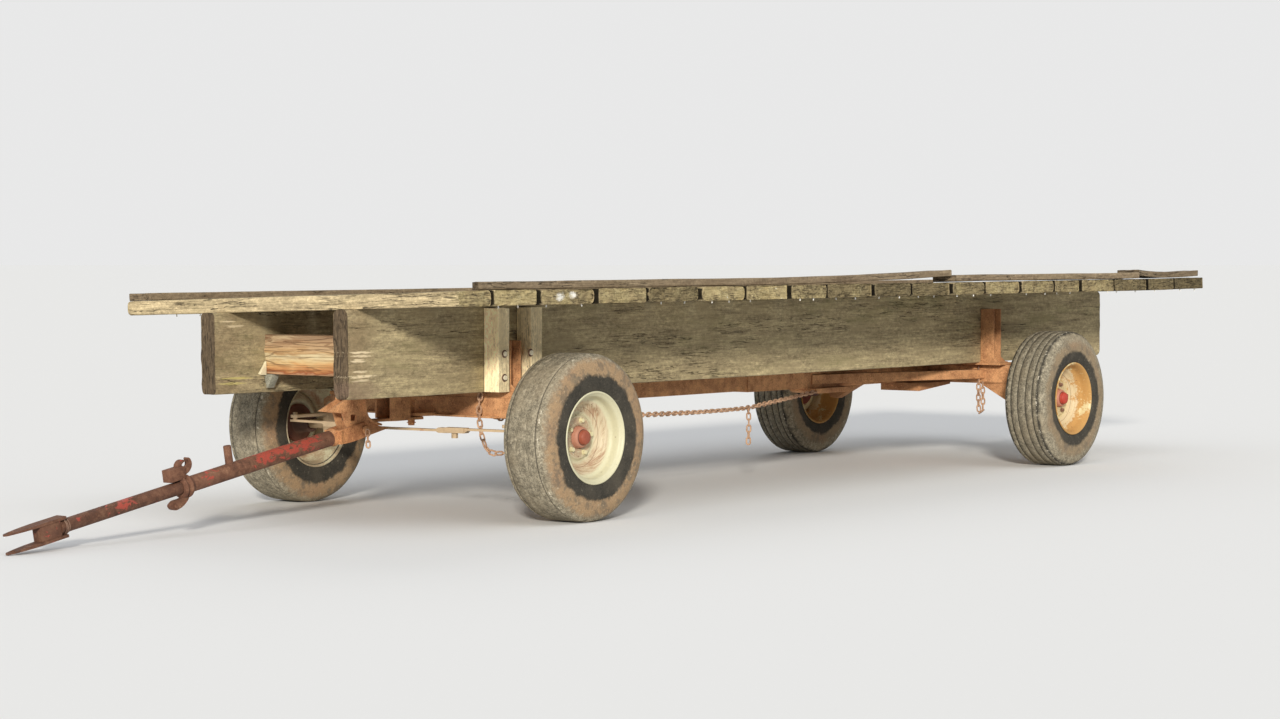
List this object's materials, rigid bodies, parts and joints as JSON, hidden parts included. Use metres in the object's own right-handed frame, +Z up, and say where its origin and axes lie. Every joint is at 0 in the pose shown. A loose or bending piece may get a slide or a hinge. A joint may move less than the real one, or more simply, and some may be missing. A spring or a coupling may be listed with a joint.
{
  "type": "hay wagon",
  "caption": "Four-wheel farm wagon: plank deck on two timber sills over a steel running gear with a hinged, steerable telescoping tongue.",
  "frame": {"origin": "on the ground under the middle of the wagon's overall length and width", "axes": "+X forward along the tongue, +Y to the wagon's left, +Z up"},
  "size_m": [8.303, 2.0892, 1.1062],
  "materials": {
    "tyre": "worn, dusty",
    "rim_paint": "cream, rusting",
    "hub_paint": "red, dusty",
    "old_timber": "weathered",
    "old_planks": "weathered",
    "fresh_timber": "split",
    "treated_timber": "sawn",
    "red_paint": "chipped",
    "chain_rust": "rust",
    "rusty_steel": "rust"
  },
  "bodies": {
    "chassis": {"bolsters": "rusty_steel", "chain_front": "chain_rust", "chain_reach": "chain_rust", "chain_rear": "chain_rust", "cross_timber": "fresh_timber", "cross_timber_angle": "rusty_steel", "deck_planks_front": "old_planks", "deck_planks_rear": "old_planks", "edge_boards_left": "old_planks", "edge_boards_right": "old_planks", "front_axle": "rusty_steel", "hounds": "rusty_steel", "king_pins": "rusty_steel", "reach_clamps": "rusty_steel", "reach_sleeve": "rusty_steel", "reach_tube": "rusty_steel", "rear_axle": "rusty_steel", "sill_left": "old_timber", "sill_right": "old_timber", "stake_blocks_left": "treated_timber", "stake_blocks_right": "treated_timber", "stakes": "rusty_steel"},
    "wheel_front_left": {"tyre_front_left": "tyre", "rim_front_left": "rim_paint", "hub_front_left": "hub_paint"},
    "wheel_front_right": {"tyre_front_right": "tyre", "rim_front_right": "rim_paint", "hub_front_right": "hub_paint"},
    "wheel_rear_left": {"tyre_rear_left": "tyre", "rim_rear_left": "rim_paint", "hub_rear_left": "hub_paint"},
    "wheel_rear_right": {"tyre_rear_right": "tyre", "rim_rear_right": "rim_paint", "hub_rear_right": "hub_paint"},
    "knuckle_left": {"knuckle_left": "rusty_steel"},
    "tie_rod_left": {"tie_rod_left": "rusty_steel"},
    "knuckle_right": {"knuckle_right": "rusty_steel"},
    "tie_rod_right": {"tie_rod_right": "rusty_steel"},
    "steering": {"steering_bracket": "rusty_steel"},
    "tongue": {"tongue_outer": "red_paint", "tongue_latch": "red_paint", "tongue_pin": "red_paint"},
    "tongue_slide": {"tongue_inner": "red_paint", "tongue_clevis": "red_paint"}
  },
  "joints": [
    {"name": "tongue_steer", "type": "hinge", "parent": "chassis", "child": "steering", "pos_m": [1.7535, 0, 0.49], "axis": [0, 0, 1], "range_deg": [-40, 40]},
    {"name": "tongue_lift", "type": "hinge", "parent": "steering", "child": "tongue", "pos_m": [2.1185, 0, 0.403], "axis": [0, -1, 0], "range_deg": [0, 22]},
    {"name": "tongue_extend", "type": "slide", "parent": "tongue", "child": "tongue_slide", "axis": [-0.9846, 0, 0.1749], "range_m": [0, 0.3]},
    {"name": "steer_left", "type": "hinge", "parent": "chassis", "child": "knuckle_left", "pos_m": [1.6135, 0.6, 0.49], "axis": [0, 0, 1], "range_deg": [-24.6, 24.6]},
    {"name": "tie_rod_left", "type": "hinge", "parent": "knuckle_left", "child": "tie_rod_left", "pos_m": [1.8445, 0.656, 0.41], "axis": [0, 0, 1], "range_deg": [-24.6, 24.6]},
    {"name": "wheel_front_left", "type": "hinge", "parent": "knuckle_left", "child": "wheel_front_left", "pos_m": [1.6135, 0.857, 0.3775], "axis": [0, 1, 0], "continuous": true},
    {"name": "steer_right", "type": "hinge", "parent": "chassis", "child": "knuckle_right", "pos_m": [1.6135, -0.6, 0.49], "axis": [0, 0, 1], "range_deg": [-24.6, 24.6]},
    {"name": "tie_rod_right", "type": "hinge", "parent": "knuckle_right", "child": "tie_rod_right", "pos_m": [1.8445, -0.656, 0.41], "axis": [0, 0, 1], "range_deg": [-24.6, 24.6]},
    {"name": "wheel_front_right", "type": "hinge", "parent": "knuckle_right", "child": "wheel_front_right", "pos_m": [1.6135, -0.857, 0.3775], "axis": [0, 1, 0], "continuous": true},
    {"name": "wheel_rear_left", "type": "hinge", "parent": "chassis", "child": "wheel_rear_left", "pos_m": [-2.6705, 0.857, 0.3775], "axis": [0, 1, 0], "continuous": true},
    {"name": "wheel_rear_right", "type": "hinge", "parent": "chassis", "child": "wheel_rear_right", "pos_m": [-2.6705, -0.857, 0.3775], "axis": [0, 1, 0], "continuous": true}
  ],
  "couplings": [
    {"joint": "steer_left", "follows": "tongue_steer", "ratio": 0.61},
    {"joint": "tie_rod_left", "follows": "tongue_steer", "ratio": -0.61},
    {"joint": "steer_right", "follows": "tongue_steer", "ratio": 0.61},
    {"joint": "tie_rod_right", "follows": "tongue_steer", "ratio": -0.61}
  ]
}
